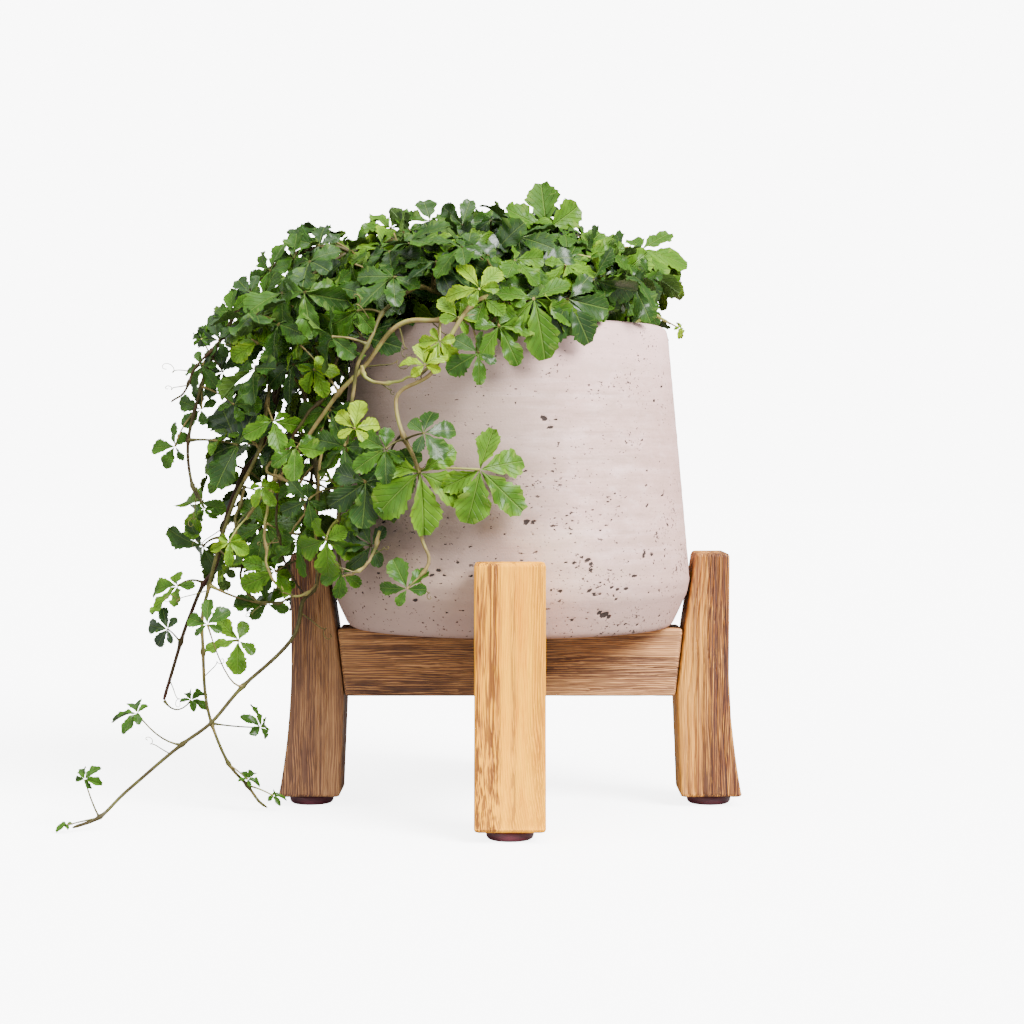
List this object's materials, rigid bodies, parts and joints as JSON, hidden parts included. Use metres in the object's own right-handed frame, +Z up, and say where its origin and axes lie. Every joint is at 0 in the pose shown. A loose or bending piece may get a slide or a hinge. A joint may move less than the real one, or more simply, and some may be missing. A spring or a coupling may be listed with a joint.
{
  "type": "potted miniature grape ivy",
  "caption": "Climbing plant with toothed palmate leaves in a tapered concrete pot on a cross-shaped wooden stand, its vines arching over the rim and trailing down one side.",
  "frame": {"origin": "middle of the whole object's footprint box, on the surface that the four feet stand on", "axes": "+Z up along the pot's axis, +X to the right and +Y away from the viewer as the picture sees it; the vines trail towards -X"},
  "size_m": [0.326, 0.2398, 0.3089],
  "materials": {
    "pot": "matt, pitted concrete",
    "soil": "crumbly potting soil",
    "pale_wood": "oiled, smooth",
    "brown_wood": "brushed and weathered, open grain",
    "glide": "satin",
    "foliage": "glossy leaf"
  },
  "bodies": {
    "root": {"bar_across": "brown_wood", "bar_front_to_back": "brown_wood", "foot_back": "glide", "foot_front": "glide", "foot_left": "glide", "foot_right": "glide", "leg_back": "brown_wood", "leg_front": "pale_wood", "leg_left": "brown_wood", "leg_right": "brown_wood", "pot": "pot", "soil": "soil", "vine_back_a": "foliage", "vine_back_b": "foliage", "vine_back_left_a": "foliage", "vine_back_left_b": "foliage", "vine_back_right": "foliage", "vine_centre_low": "foliage", "vine_crown_a": "foliage", "vine_crown_b": "foliage", "vine_crown_c": "foliage", "vine_crown_d": "foliage", "vine_crown_e": "foliage", "vine_far_left": "foliage", "vine_front_drop": "foliage", "vine_front_mid": "foliage", "vine_glossy_left": "foliage", "vine_left_front": "foliage", "vine_left_mid": "foliage", "vine_right_a": "foliage", "vine_right_b": "foliage", "vine_rim_runner": "foliage", "vine_rim_tip": "foliage", "vine_top_a": "foliage", "vine_top_b": "foliage", "vine_top_back": "foliage", "vine_top_c": "foliage", "vine_top_d": "foliage", "vine_top_left": "foliage", "vine_top_right": "foliage", "vine_trail_brown": "foliage", "vine_trail_green": "foliage", "vine_trail_long": "foliage"}
  },
  "joints": []
}
